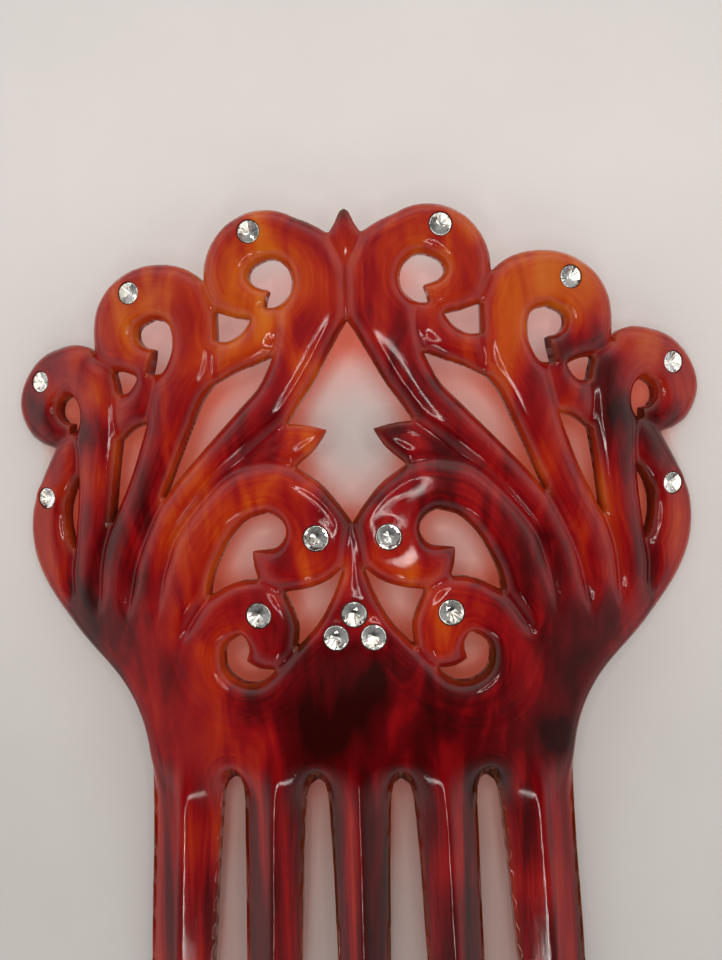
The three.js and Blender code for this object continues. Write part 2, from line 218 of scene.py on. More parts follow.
OUTER_LEAF_OPENING = chained(
    smooth((33.4, 55), (36.1, 54.2), (38.8, 52.4)),
    smooth((38.8, 52.4), (39.7, 47.5), (41, 38.4)),
    smooth((41, 38.4), (36.9, 46.2), (33.4, 55)),
)
INNER_LEAF_OPENING = chained(
    smooth((31.4, 42.1), (29.1, 47.2), (25.3, 55.2), (23.7, 58.3), (21.9, 60.6)),
    smooth((21.9, 60.6), (18.1, 62.4), (14.9, 63.5), (11.7, 64.7)),
    smooth((11.7, 64.7), (14.3, 59.9), (17.7, 56.4), (25.2, 48.9), (28.8, 45.2), (31.4, 42.1)),
)
BELL_OPENING = chained(
    smooth((13.4, 40.3), (11.5, 39.3), (10.6, 37.6), (11, 36), (12.3, 34.8), (13.8, 34.5), (16.1, 34.2)),
    smooth((16.1, 34.2), (15.9, 31.9), (15.3, 29.8)),
    smooth((15.3, 29.8), (19.1, 29.3), (23.7, 27.1)),
    smooth((23.7, 27.1), (23.1, 30), (21.6, 33.3), (19.7, 36.4), (16.8, 39.2), (13.4, 40.3)),
)
EYE_OF_FOOT_SCROLL = chained(
    smooth((18.2, 21.1), (21, 19.2), (21.5, 16.8), (20.8, 14.7), (18.1, 13.1), (15.4, 13.4), (12.9, 15.4)),
    smooth((12.9, 15.4), (15.6, 15.6), (17.7, 16.7)),
    smooth((17.7, 16.7), (17.2, 18.9), (18.2, 21.1)),
)
OPENING_UNDER_BELL = chained(
    smooth((1.4, 31.9), (3.9, 29.7), (7.3, 28.4), (11.2, 27.8)),
    smooth((11.2, 27.8), (10, 25.3), (9.1, 22.5), (9.3, 19)),
    smooth((9.3, 19), (6, 22.6), (3.8, 26.2), (1.4, 31.9)),
)
HALF_ARCH = chained(
    smooth((0, 69.7), (1.1, 68), (3.3, 64.2), (5.8, 59.9), (7.7, 57.3), (9.9, 54.1)),
    smooth((9.9, 54.1), (6.8, 53.8), (3.6, 53)),
    smooth((3.6, 53), (5.5, 50.2), (8.7, 47.4)),
    smooth((8.7, 47.4), (6.4, 45.9), (4.3, 44.2), (1.6, 40.9), (0, 38.5)),
)
RIGHT_OPENINGS = [
    EYE_OF_TOP_SCROLL, EYE_OF_SIDE_SCROLL, EYE_OF_LOW_SCROLL, WEDGE_UNDER_TOP_SCROLL,
    WEDGE_UNDER_SIDE_SCROLL, SLIT_IN_RIM, OUTER_LEAF_OPENING, INNER_LEAF_OPENING, BELL_OPENING,
    EYE_OF_FOOT_SCROLL, OPENING_UNDER_BELL,
]

# Carved grooves of the right half: points, how deep (0 to 1), and whether the line fades out at its end.
GROOVES = [
    ([(9.9, 54.1), (12.6, 52.2), (16.3, 49.3), (19.5, 47), (22.7, 43.9), (25.3, 41.3), (28.2, 38)], 1, True),
    ([(8.7, 47.4), (12.3, 48.1), (15.7, 47.7), (18.8, 46.8), (23.5, 43), (29, 36.3), (30.4, 32.7),
      (31.4, 29.2), (32, 23.6), (32.1, 19.6)], 1, True),
    ([(31.4, 42.1), (34, 37.3), (36.2, 32.2), (37.4, 26.7), (37.7, 20.6)], 1, True),
    ([(41, 38.4), (42.6, 33.8), (43.3, 28.7), (42.8, 22.6)], 1, True),
    ([(48.6, 33.9), (49.1, 29.7), (48.2, 24.6)], 1, True),
    ([(3.6, 53), (7.3, 52.6), (11, 51), (13.6, 49.9), (17.1, 47.7), (21, 44.9)], 0.3, True),
    ([(11.2, 27.8), (13.3, 29), (15.3, 29.8)], 0.7, False),
    ([(23.7, 27.1), (25.6, 24.6), (27.4, 21.6), (28.4, 18.8)], 1, True),
    ([(29.7, 18.5), (28.2, 13.5), (25.1, 9.4), (20.8, 7.2), (16.4, 7.4), (11.8, 9.4), (8.2, 12.2),
      (4.6, 16)], 0.15, True),
    ([(9.3, 19), (10.9, 17.1), (12.9, 15.4)], 0.8, False),
    ([(0.2, 38.5), (0.9, 35.8), (1.4, 31.9)], 0.9, False),
    ([(2.5, 82.9), (1.3, 80.2), (0, 77.6)], 0.9, False),
    ([(0, 77.6), (0, 73.3), (0, 69.7)], 1, False),
    ([(22.7, 76.7), (22, 74.4), (20.9, 71.9)], 1, False),
    ([(42.7, 65.6), (41.2, 64.5), (39.6, 63.7)], 1, False),
    ([(52, 51.4), (50.3, 52.7), (48.5, 53.6)], 1, False),
    ([(11.3, 72.2), (10.7, 69.8), (10.9, 67.3), (11.7, 64.7)], 0.6, False),
    ([(20.9, 67.3), (21.1, 64.2), (21.9, 60.6)], 0.6, False),
    ([(31.3, 62.8), (32.3, 58.6), (33.4, 55)], 0.6, False),
    ([(38.7, 59.8), (38.8, 56.1), (38.8, 52.4)], 0.6, False),
    ([(47.6, 54), (46.7, 50.5), (47, 46.7)], 0.6, False),
]
GROOVE_WIDTH = 0.4
GROOVE_HOLD = 5.0  # how firmly a groove holds the swell down
FADE_SHARE = 0.4  # part of a fading groove that fades


# ---------------- distances on the grid

def segments(lines):
    starts = np.vstack([line[:-1] for line in lines])
    ends = np.vstack([line[1:] for line in lines])
    return starts, ends


def closed(points):
    return np.vstack([points, points[:1]])


def distance(x, y, lines):
    """Distance from each grid point to the nearest line, and where along that line it is (0 to 1)."""
    starts, ends = segments(lines)
    along = np.concatenate([(np.arange(len(line) - 1) + 0.5) / (len(line) - 1) for line in lines])
    flat = np.column_stack([x.ravel(), y.ravel()]).astype(np.float32)
    starts = starts.astype(np.float32)
    steps = ends.astype(np.float32) - starts
    lengths = np.maximum((steps**2).sum(1), 1e-9)
    best = np.empty(len(flat), np.float32)
    where = np.empty(len(flat), np.float32)
    for first in range(0, len(flat), 2000):
        block = flat[first : first + 2000]
        dx = block[:, :1] - starts[:, 0]
        dy = block[:, 1:] - starts[:, 1]
        t = np.clip((dx * steps[:, 0] + dy * steps[:, 1]) / lengths, 0, 1)
        square = (dx - t * steps[:, 0]) ** 2 + (dy - t * steps[:, 1]) ** 2
        nearest = square.argmin(1)
        best[first : first + 2000] = np.sqrt(square[np.arange(len(block)), nearest])
        where[first : first + 2000] = along[nearest]
    return best.reshape(x.shape), where.reshape(x.shape)


def inside(xs, ys, outlines):
    """True at grid points in the solid, by counting how many outlines each row crosses."""
    starts, ends = segments([closed(outline) for outline in outlines])
    result = np.zeros((len(ys), len(xs)), bool)
    for row, y in enumerate(ys):
        crosses = (starts[:, 1] <= y) != (ends[:, 1] <= y)
        a, b = starts[crosses], ends[crosses]
        cuts = np.sort(a[:, 0] + (y - a[:, 1]) * (b[:, 0] - a[:, 0]) / (b[:, 1] - a[:, 1]))
        result[row] = np.searchsorted(cuts, xs) % 2 == 1
    return result


def grid_lines():
    xs = np.arange(0, HALF_WIDTH, CELL)
    tooth_rows = np.arange(FINE_ABOVE, -TOOTH_LENGTH - 2 * TOOTH_CELL, -TOOTH_CELL)[::-1]
    ornament_rows = np.arange(FINE_ABOVE + CELL, ORNAMENT_HEIGHT + 4 * CELL, CELL)
    return xs, np.concatenate([tooth_rows, ornament_rows])


def from_left(field):
    """The field moved one column to the right. What enters at x = 0 is its mirror image."""
    moved = np.roll(field, 1, 1)
    moved[:, 0] = field[:, 1]
    return moved


def swell(signed, cut_side, xs, ys, hold):
    """Solves for a smooth swelling that is zero on every edge and small on every groove, by relaxation.

    Arms that cross an edge are shortened to it, so the swell follows the outline and not the grid.
    """
    rows = np.diff(ys)
    north = np.append(rows, rows[-1])[:, None] * np.ones_like(signed)
    south = np.insert(rows, 0, rows[0])[:, None] * np.ones_like(signed)
    east = np.full_like(signed, CELL)
    west = np.full_like(signed, CELL)
    solid = signed > 0
    arms = {}
    neighbours = (("e", east, 1, -1), ("w", west, 1, 1), ("n", north, 0, -1), ("s", south, 0, 1))
    for name, arm, axis, shift in neighbours:
        beyond = from_left(signed) if name == "w" else np.roll(signed, shift, axis)
        leaves = solid & (beyond <= 0)
        share = np.where(leaves, np.clip(signed / np.maximum(signed - beyond, 1e-6), 0.15, 1), 1)
        free = leaves & np.roll(cut_side, shift, axis)
        arms[name] = (arm * share, leaves, free)
    weights = {}
    for name, opposite in (("e", "w"), ("w", "e"), ("n", "s"), ("s", "n")):
        arm, leaves, free = arms[name]
        weight = 2 / (arm * (arm + arms[opposite][0]))
        weights[name] = (np.where(free, 0, weight), np.where(leaves, 0, weight))
    total = sum(weight for weight, _ in weights.values()) + 1 / SWELL_REACH**2 + hold
    value = np.where(solid, 2.0, 0.0)
    for _ in range(SWELL_STEPS):
        around = (
            weights["e"][1] * np.roll(value, -1, 1)
            + weights["w"][1] * from_left(value)
            + weights["n"][1] * np.roll(value, -1, 0)
            + weights["s"][1] * np.roll(value, 1, 0)
        )
        value = np.where(solid, (1 + around) / total, 0)
    return value


def soft_cap(value, cap, sharpness=3.5):
    """The smaller of value and cap, with a rounded corner between them."""
    return -np.log(np.exp(-sharpness * value) + np.exp(-sharpness * cap)) / sharpness


def smoothstep(low, high, value):
    t = np.clip((value - low) / (high - low), 0, 1)
    return t * t * (3 - 2 * t)


def stone_places():
    """(node number, flat place, diameter): the centre stone first, then each pair, left and right."""
    places = [(1, CENTRE_STONE, MIDDLE_STONE)]
    for (x, y), diameter in PAIRED_STONES:
        places.append((len(places) + 1, (-x, y), diameter))
        places.append((len(places) + 1, (x, y), diameter))
    return places


def carved_field():
    """Everything the body is made from, on the right half of the grid and then mirrored to the whole."""
    xs, ys = grid_lines()
    x, y = np.meshgrid(xs, ys)
    arch = chained(HALF_ARCH, mirrored(HALF_ARCH))
    outlines = [silhouette(), arch, *RIGHT_OPENINGS]
    outlines += [mirrored(opening) for opening in RIGHT_OPENINGS if opening[:, 0].min() < 4]
    near = [closed(outline) for outline in outlines]
    edge_distance, _ = distance(x, y, near)
    solid = inside(xs, ys, outlines)
    signed = np.where(solid, edge_distance, -edge_distance)
    signed = np.where(np.abs(signed) < 0.04, np.where(solid, 0.04, -0.04), signed)
    cut_distance, _ = distance(x, y, [TOP_CUT, SIDE_CUT, LOW_CUT])
    cut_side = ~solid & (cut_distance < edge_distance + 0.02)

    hold = np.zeros_like(signed)
    groove_distance = np.full_like(signed, 50)
    for points, depth, fades in GROOVES:
        away, along = distance(x, y, [smooth(*points)])
        strength = depth * np.where(fades, 1 - smoothstep(1 - FADE_SHARE, 1, along), 1)
        hold = np.maximum(hold, GROOVE_HOLD * strength * np.exp(-((away / GROOVE_WIDTH) ** 2)))
        groove_distance = np.minimum(groove_distance, away + 3 * (1 - strength))
    value = swell(signed, cut_side, xs, ys, hold)
    rise = soft_cap(SWELL_GAIN * np.maximum(value, 0) ** SWELL_POWER, CROWN_RISE)
    height = RIM_HEIGHT + rise
    inwards = np.maximum(signed, 0)
    roof = TOOTH_RIM + TOOTH_SHOULDER * (1 - np.exp(-inwards / 0.5)) + TOOTH_SLOPE * inwards
    for _ in range(2):
        roof = (from_left(roof) + 2 * roof + np.roll(roof, -1, 1)) / 4
    height = height + (roof - height) * (1 - smoothstep(-8, 2, y))

    pits = np.full_like(signed, 50)
    left_stones = [((-px, py), diameter) for (px, py), diameter in PAIRED_STONES]
    for (px, py), diameter in [(CENTRE_STONE, MIDDLE_STONE), *PAIRED_STONES, *left_stones]:
        away = np.hypot(x - px, y - py)
        pits = np.minimum(pits, away - diameter / 2 - SETTING_GAP)
        off_stone = np.maximum(away - diameter / 2 - 0.2, 0)
        height = soft_cap(height, SEAT_LEVEL + SEAT_CURVE * off_stone**2, 4)
        height = height + (SEAT_LEVEL - height) * (1 - smoothstep(0, 1.2, off_stone))

    def whole(half, sign=1):
        return np.hstack([sign * half[:, :0:-1], half])

    return {
        "x": whole(x, -1), "y": whole(y), "signed": whole(signed), "height": whole(height),
        "pits": whole(pits), "groove": whole(groove_distance), "cut": whole(cut_side.astype(float)),
    }


# ---------------- from the flat layout to the row frame

def lean_matrix():
    return Matrix.Rotation(LEAN, 4, "X")


def place_matrix():
    """Moves leaned millimetres to the row frame. The centre stone's box says where its girdle lies."""
    low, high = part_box("rhinestone_01")
    girdle_z = low[2] + POINT_DEPTH * MIDDLE_STONE * MM * cos(LEAN)
    girdle = Vector(((low[0] + high[0]) / 2, (low[1] + high[1]) / 2, girdle_z))
    flat = Vector((*CENTRE_STONE, PLATE_THICKNESS - GIRDLE_DROP))
    leaned = lean_matrix() @ flat
    return Matrix.Translation(girdle - leaned * MM) @ Matrix.Scale(MM, 4) @ lean_matrix()


PLACE = place_matrix()


def thinning(y):
    return 1 - TIP_THINNING * np.maximum(0, -y) / TOOTH_LENGTH


def bowed(points):
    """Flat points as an array of x, y and z, bowed about an axis along y."""
    angle = points[:, 0] / BOW_RADIUS
    radius = BACK_RADIUS + points[:, 2] * thinning(points[:, 1])
    return np.column_stack([radius * np.sin(angle), points[:, 1], radius * np.cos(angle) - BACK_RADIUS])


def in_row_frame(points):
    matrix = np.array(PLACE)
    return bowed(points) @ matrix[:3, :3].T + matrix[:3, 3]


# ---------------- meshes

def new_object(name, mesh, material, slot=None, replaces=()):
    piece = bpy.data.objects.new(name, mesh)
    bpy.context.scene.collection.objects.link(piece)
    mesh.materials.append(material)
    if slot:
        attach(piece, "root")
    if replaces:
        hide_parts(*replaces)
    return piece


class Sheet:
    """The part of the grid where a signed field is positive, cut exactly along its zero line."""

    def __init__(self, x, y, signed, extra):
        self.faces = []
        self.rim = []
        solid = signed > 0
        index = np.full(signed.shape, -1)
        index[solid] = np.arange(solid.sum())
        self.points = list(zip(x[solid], y[solid]))
        self.values = {name: list(field[solid]) for name, field in extra.items()}
        full = solid[:-1, :-1] & solid[1:, :-1] & solid[:-1, 1:] & solid[1:, 1:]
        for j, i in zip(*np.nonzero(full)):
            self.faces.append((index[j, i], index[j, i + 1], index[j + 1, i + 1], index[j + 1, i]))
        some = solid[:-1, :-1] | solid[1:, :-1] | solid[:-1, 1:] | solid[1:, 1:]
        made = {}

        def crossing(a, b):
            key = (a, b) if a < b else (b, a)
            if key not in made:
                inner, outer = (a, b) if solid[a] else (b, a)
                t = signed[inner] / (signed[inner] - signed[outer])
                made[key] = len(self.points)
                cut_x = x[inner] + t * (x[outer] - x[inner])
                cut_y = y[inner] + t * (y[outer] - y[inner])
                self.points.append((cut_x, cut_y))
                for name, field in extra.items():
                    self.values[name].append(field[outer] if name == "cut" else field[inner])
            return made[key]

        for j, i in zip(*np.nonzero(some & ~full)):
            corners = [(j, i), (j, i + 1), (j + 1, i + 1), (j + 1, i)]
            ring = []
            for k in range(4):
                a, b = corners[k], corners[(k + 1) % 4]
                if solid[a]:
                    ring.append((index[a], False))
                if solid[a] != solid[b]:
                    ring.append((crossing(a, b), True))
            self.faces.append(tuple(v for v, _ in ring))
            for (v, v_cut), (w, w_cut) in zip(ring, ring[1:] + ring[:1]):
                if v_cut and w_cut:
                    self.rim.append((v, w))
        self.grid_count = int(solid.sum())


def comb_mesh(fields):
    """Front, back and walls of the body, still flat. The pits are open, and pit_faces closes them."""
    x, y, signed = fields["x"], fields["y"], fields["signed"]
    extra = {"height": fields["height"], "edge": signed, "groove": fields["groove"], "cut": fields["cut"]}
    front = Sheet(x, y, np.minimum(signed, fields["pits"]), extra)
    back = Sheet(x, y, signed, {"edge": signed})

    front_xy = np.array(front.points)
    front_z = np.array(front.values["height"])
    edge_distance = np.array(front.values["edge"])
    is_cut_edge = np.array(front.values["cut"]) > 0.5
    on_rim = np.arange(len(front_xy)) >= front.grid_count
    in_pit = np.zeros(len(front_xy), bool)
    for _, (px, py), diameter in stone_places():
        away = np.hypot(front_xy[:, 0] - px, front_xy[:, 1] - py)
        in_pit |= on_rim & (away < diameter / 2 + SETTING_GAP + 0.2)
    outer_rim = on_rim & ~in_pit
    front_z = np.where(outer_rim & ~is_cut_edge, RIM_HEIGHT, front_z)
    edge_distance = np.where(outer_rim, 0, edge_distance)

    back_xy = np.array(back.points)
    on_back_rim = np.arange(len(back_xy)) >= back.grid_count
    back_distance = np.where(on_back_rim, 0, np.array(back.values["edge"]))
    back_z = BACK_EDGE * (1 - smoothstep(0, 2.2 * BACK_EDGE, back_distance)) ** 2
    for root_x in GAP_ROOTS:
        for side in (1, -1):
            away = np.hypot(back_xy[:, 0] - side * root_x, back_xy[:, 1] - ROOT_LEVEL)
            back_xy[:, 1] -= ROOT_SLOPE * np.exp(-((away / 2.5) ** 2))

    rim_of = {}
    for v in np.nonzero(outer_rim)[0]:
        rim_of[tuple(np.round(front_xy[v], 5))] = v
    points = [np.column_stack([front_xy, front_z]), np.column_stack([back_xy, back_z])]
    offset = len(front_xy)
    unshifted = np.array(back.points)
    faces = list(front.faces)
    faces += [tuple(v + offset for v in face[::-1]) for face in back.faces]
    wall_of = {v: rim_of[tuple(np.round(unshifted[v], 5))] for v in np.nonzero(on_back_rim)[0]}
    for v, w in back.rim:
        faces.append((v + offset, w + offset, wall_of[w], wall_of[v]))
    return points, faces, front, in_pit, edge_distance, offset + np.nonzero(on_back_rim)[0]


def pit_faces(points, faces, front, in_pit):
    """A drilled pit under each stone: a wall from the carved face down to a shallow cone."""
    stacked = np.vstack(points)
    extra_points = []
    count = len(stacked)
    lower = {}
    for number, (px, py), diameter in stone_places():
        ring = [(v, w) for v, w in front.rim if in_pit[v] and in_pit[w]
                and np.hypot(stacked[v, 0] - px, stacked[v, 1] - py) < diameter / 2 + SETTING_GAP + 0.3]
        floor_z = PLATE_THICKNESS - GIRDLE_DROP - 2 * SETTING_GAP - CEMENT_DEPTH
        centre = count + len(extra_points)
        extra_points.append((px, py, floor_z - POINT_DEPTH * diameter))
        for pair in ring:
            for v in pair:
                if v not in lower:
                    lower[v] = count + len(extra_points)
                    extra_points.append((stacked[v, 0], stacked[v, 1], floor_z))
        for v, w in ring:
            faces.append((w, v, lower[v], lower[w]))
            faces.append((lower[w], lower[v], centre))
    return np.vstack([stacked, np.array(extra_points)]), faces


# Patches of colour in the celluloid: x, y, radius and strength. Above 0 is amber, below 0 near black.
COLOUR_PATCHES = [
    (-24, 62, 26, 0.16), (2, 76, 13, 0.18), (0, 5, 24, -0.12), (-38, 12, 14, -0.2), (38, 8, 14, -0.2),
    (0, -35, 34, -0.15), (-15, 76, 9, 0.3), (-35, 72, 9, 0.65), (-17, 66, 5, 0.4), (0, 80, 5, 0.25),
    (0, 88, 2.5, -1.0), (14, 80, 9, 0.4), (34, 74, 10, 0.8), (52, 62, 10, 0.5), (48, 40, 9, 0.25),
    (28, 50, 10, 0.1), (-9, 58, 7, 0.1), (17, 67, 5, 0.2), (-27, 43, 8, 0.3), (-7, 51, 5, 0.2),
    (-17, 43, 6, 0.15), (-21, 34, 5, 0.35), (-7, 30, 5, 0.35), (9, 30, 5, 0.4), (15, 20, 5, 0.35),
    (-18, 20, 5, 0.1), (-18, 4, 5.5, 0.3), (-24, -13, 6, 0.3), (28, -20, 4, 0.25), (14, -16, 4, 0.2),
    (-15, 10, 4, -0.35), (-5, 7, 6, -0.5), (36, 10, 6, -0.3), (3, 14, 6, -0.4), (31, 4, 4, -0.85),
    (21, -3, 4, -0.5), (38, 20, 8, -0.2), (-36, 23, 7, -0.3), (-43, 54, 3.5, -0.7), (44, 55, 4, -0.7),
    (33, 66, 4, -0.4), (40, 62, 4, -0.6), (33, -50, 9, 0.3), (-31, -38, 8, 0.25), (0, -40, 6, 0.15),
    (-14, -50, 9, -0.2),
]


def paint(mesh, name, values):
    layer = mesh.attributes.new(name, "FLOAT", "POINT")
    layer.data.foreach_set("value", np.asarray(values, np.float32))


def paint_flat(mesh, points):
    layer = mesh.attributes.new("flat", "FLOAT_VECTOR", "POINT")
    layer.data.foreach_set("vector", np.asarray(points, np.float32).ravel())


def make_comb(material):
    fields = carved_field()
    points, faces, front, in_pit, front_edge, on_back_rim = comb_mesh(fields)
    flat, faces = pit_faces(points, faces, front, in_pit)
    mesh = bpy.data.meshes.new("carved_comb")
    mesh.from_pydata(in_row_frame(flat).tolist(), [], [tuple(int(v) for v in face) for face in faces])
    mesh.update()
    amount = np.zeros(len(flat))
    for px, py, radius, strength in COLOUR_PATCHES:
        amount += strength * np.exp(-((flat[:, 0] - px) ** 2 + (flat[:, 1] - py) ** 2) / radius**2)
    across = np.full(len(flat), 1.0)
    across[: len(front_edge)] = np.minimum(front_edge, np.array(front.values["groove"]))
    paint_flat(mesh, flat)
    paint(mesh, "tone", amount)
    paint(mesh, "across", across)
    # Distance from the edge, which sets where thin edges are painted amber as if lit through.
    from_edge = np.full(len(flat), 1.0)
    from_edge[: len(front_edge)] = front_edge
    paint(mesh, "from_edge", from_edge)
    # Painted shade: the back rim is marked so that the material paints the sawn walls dark.
    deep = np.zeros(len(flat))
    deep[on_back_rim] = 1
    paint(mesh, "deep", deep)
    mesh.shade_smooth()
    mesh.set_sharp_from_angle(angle=radians(62))
    return new_object("carved_comb", mesh, material, "tortoiseshell", ["comb_body"])


def faceted(points, faces, name):
    """A mesh with flat faces from lists of points and index tuples."""
    mesh = bpy.data.meshes.new(name)
    mesh.from_pydata(points, [], faces)
    tidy = bmesh.new()
    tidy.from_mesh(mesh)
    bmesh.ops.recalc_face_normals(tidy, faces=tidy.faces)
    tidy.to_mesh(mesh)
    tidy.free()
    return mesh


def polar(radius, degrees, z):
    angle = radians(degrees)
    return (radius * cos(angle), radius * sin(angle), z)


# Facets of a stone, as shares of its radius.
STONE_SHARE = 0.95  # of the nominal diameter, so that a dark line shows round each stone
TABLE = 0.5
CROWN = 0.28  # height over the girdle
STAR = 0.72
GIRDLE = 0.03  # half its height
PAVILION = 0.78  # depth under the girdle
CULET_RING = 0.22
FOIL_GAP = 0.015  # from the stone, in millimetres
FOIL_BACK = 0.05
STONE_TILT = 1.6  # typical tilt in its seat, in degrees


def crown_points(r):
    """Table corners, star corners and girdle corners of a brilliant's crown, for eight-fold facets."""
    table = [polar(TABLE * r, 45 * k, CROWN * r) for k in range(8)]
    star_z = CROWN * r * (1 - STAR * cos(radians(22.5))) / (1 - TABLE)
    star = [polar(STAR * r, 45 * k + 22.5, star_z) for k in range(8)]
    girdle = [polar(r, 22.5 * k, GIRDLE * r) for k in range(16)]
    return table, star, girdle


def pavilion_points(r, swell_out=0.0):
    """Girdle corners, the ring round the point, and the point itself."""
    girdle = [polar(r + swell_out, 22.5 * k, -GIRDLE * r) for k in range(16)]
    depth = -PAVILION * r
    ring_z = depth * (1 - CULET_RING * cos(radians(22.5)))
    ring = [polar(CULET_RING * r + swell_out, 45 * k + 22.5, ring_z - swell_out) for k in range(8)]
    return girdle, ring, (0, 0, depth - swell_out)


def pavilion_faces(girdle, ring, culet):
    faces = []
    for k in range(8):
        after = (k + 1) % 8
        faces.append((girdle + 2 * k, ring + k, culet, ring + (k - 1) % 8))
        faces.append((girdle + 2 * k, girdle + 2 * k + 1, ring + k))
        faces.append((girdle + 2 * k + 1, girdle + 2 * after, ring + k))
    return faces


def stone_mesh(diameter):
    """A round brilliant: table, stars, kites and halves over the girdle, mains and halves under it."""
    r = diameter / 2 * STONE_SHARE
    table, star, upper = crown_points(r)
    lower, ring, culet = pavilion_points(r)
    points = [*table, *star, *upper, *lower, *ring, culet]
    first_star, first_upper, first_lower, first_ring, point = 8, 16, 32, 48, 56
    faces = [tuple(range(8))]
    for k in range(8):
        after = (k + 1) % 8
        tip = first_star + k
        corner = first_upper + 2 * k
        faces.append((k, after, tip))
        faces.append((k, tip, corner, first_star + (k - 1) % 8))
        faces.append((tip, corner, corner + 1))
        faces.append((tip, corner + 1, first_upper + 2 * after))
    for k in range(16):
        after = (k + 1) % 16
        faces.append((first_upper + k, first_upper + after, first_lower + after, first_lower + k))
    faces += pavilion_faces(first_lower, first_ring, point)
    return points, faces


def foil_mesh(diameter):
    """The silvered foil behind a stone, a thin cup that follows its pavilion."""
    r = diameter / 2 * STONE_SHARE
    near, near_ring, near_culet = pavilion_points(r, FOIL_GAP)
    far, far_ring, far_culet = pavilion_points(r, FOIL_BACK)
    points = [*near, *near_ring, near_culet, *far, *far_ring, far_culet]
    skin = len(points) // 2
    faces = pavilion_faces(0, 16, 24)
    faces += [tuple(v + skin for v in face) for face in faces]
    for k in range(16):
        after = (k + 1) % 16
        faces.append((k, after, skin + after, skin + k))
    return points, faces


def cement_ring(diameter):
    """Cement behind the foil, rising to a worn bead between the girdle and the wall of the pit."""
    r = diameter / 2
    tip = -POINT_DEPTH * diameter
    profile = [
        (r * 0.55, -0.36 * diameter), (r + 0.02, -0.5), (r + 0.13, -0.3), (r + 0.13, -0.1), (r + 0.08, 0.0),
        (r - 0.02, -0.02), (r - 0.03, -0.12), (r * 0.9, -0.42), (r * 0.5, -0.9),
    ]
    steps = 40
    points = []
    faces = []
    for k in range(steps):
        for out, z in profile:
            points.append(polar(out, 360 * k / steps, z))
    bottom, top = len(points), len(points) + 1
    points += [(0, 0, tip - 0.32), (0, 0, tip - 0.12)]
    n = len(profile)
    for k in range(steps):
        after = (k + 1) % steps
        for j in range(n - 1):
            faces.append((k * n + j, after * n + j, after * n + j + 1, k * n + j + 1))
        faces.append((bottom, after * n, k * n))
        faces.append((top, k * n + n - 1, after * n + n - 1))
    return points, faces


def seat_matrix(place, turn):
    """Where a stone sits: its girdle's centre, with z along the bowed face's own normal."""
    x, y = place
    angle = x / BOW_RADIUS
    radius = BOW_RADIUS - GIRDLE_DROP
    centre = Vector((radius * sin(angle), y, radius * cos(angle) - BACK_RADIUS))
    return Matrix.Translation(centre) @ Matrix.Rotation(angle, 4, "Y") @ Matrix.Rotation(turn, 4, "Z")


def make_stones(glass, foil, cement):
    """Each stone is turned and tilted a little by chance, as one set by hand would be."""
    chance = np.random.default_rng(11)
    for number, place, diameter in stone_places():
        turn = chance.uniform(0, pi / 4)
        tilt_x = Matrix.Rotation(radians(chance.normal(0, STONE_TILT)), 4, "X")
        tilt_y = Matrix.Rotation(radians(chance.normal(0, STONE_TILT)), 4, "Y")
        seat = PLACE @ seat_matrix(place, turn) @ (tilt_x @ tilt_y)
        for kind, (points, faces), material, slot, node in (
            ("rhinestone", stone_mesh(diameter), glass, "clear_glass", f"rhinestone_{number:02d}"),
            ("foil", foil_mesh(diameter), foil, "clear_glass", None),
            ("cement", cement_ring(diameter), cement, "jewellers_cement", f"cement_bed_{number:02d}"),
        ):
            name = f"{kind}_look_{number:02d}"
            placed = [tuple(seat @ Vector(p)) for p in points]
            mesh = faceted(placed, faces, name)
            if kind == "cement":
                mesh.shade_smooth()
            if kind == "foil":
                # A chance value for each facet of the foil sets both how dull it is and how much painted
                # glow it gives.
                layer = mesh.attributes.new("dulling_and_glow", "FLOAT", "FACE")
                layer.data.foreach_set("value", chance.uniform(0, 1, len(mesh.polygons)).astype(np.float32))
            new_object(name, mesh, material, slot, [node] if node else ())


# ---------------- materials

def new_material(name):
    material = bpy.data.materials.new(name)
    material.use_nodes = True
    return material, material.node_tree


def add_node(tree, kind, inputs=None, **settings):
    """A node with its properties set and its sockets filled, from values or from sockets of other nodes."""
    node = tree.nodes.new(kind)
    for key, value in settings.items():
        setattr(node, key, value)
    for key, value in (inputs or {}).items():
        connect(tree, value, node.inputs[key])
    return node


def connect(tree, value, socket):
    if isinstance(value, bpy.types.NodeSocket):
        tree.links.new(value, socket)
    else:
        socket.default_value = value


def dressed(material, inputs):
    """The material with its shader's sockets filled."""
    tree = material.node_tree
    for key, value in inputs.items():
        connect(tree, value, tree.nodes["Principled BSDF"].inputs[key])
    return material


def attribute(tree, name, vector=False):
    node = add_node(tree, "ShaderNodeAttribute", attribute_name=name)
    return node.outputs["Vector" if vector else "Fac"]


def maths(tree, operation, a, b=0.0):
    return add_node(tree, "ShaderNodeMath", {0: a, 1: b}, operation=operation).outputs[0]


def stretched(tree, vector, scale, shift=(0, 0, 0)):
    inputs = {"Vector": vector, "Scale": scale, "Location": shift}
    return add_node(tree, "ShaderNodeMapping", inputs).outputs[0]


def noise(tree, vector, scale, detail=3.0, roughness=0.5, distortion=0.0):
    inputs = {"Vector": vector, "Scale": scale, "Detail": detail}
    inputs |= {"Roughness": roughness, "Distortion": distortion}
    return add_node(tree, "ShaderNodeTexNoise", inputs).outputs["Fac"]


def ranged(tree, value, low, high, to_low=0.0, to_high=1.0):
    inputs = {"Value": value, "From Min": low, "From Max": high, "To Min": to_low, "To Max": to_high}
    return add_node(tree, "ShaderNodeMapRange", inputs).outputs[0]


def blended(tree, factor, a, b):
    """a where the factor is 0 and b where it is 1, for plain numbers."""
    return maths(tree, "ADD", a, maths(tree, "MULTIPLY", factor, maths(tree, "SUBTRACT", b, a)))


def ramp(tree, value, stops):
    node = add_node(tree, "ShaderNodeValToRGB", {"Fac": value})
    elements = node.color_ramp.elements
    while len(elements) < len(stops):
        elements.new(0.5)
    for element, (position, colour) in zip(elements, stops):
        element.position = position
        element.color = (*colour, 1)
    return node.outputs["Color"]


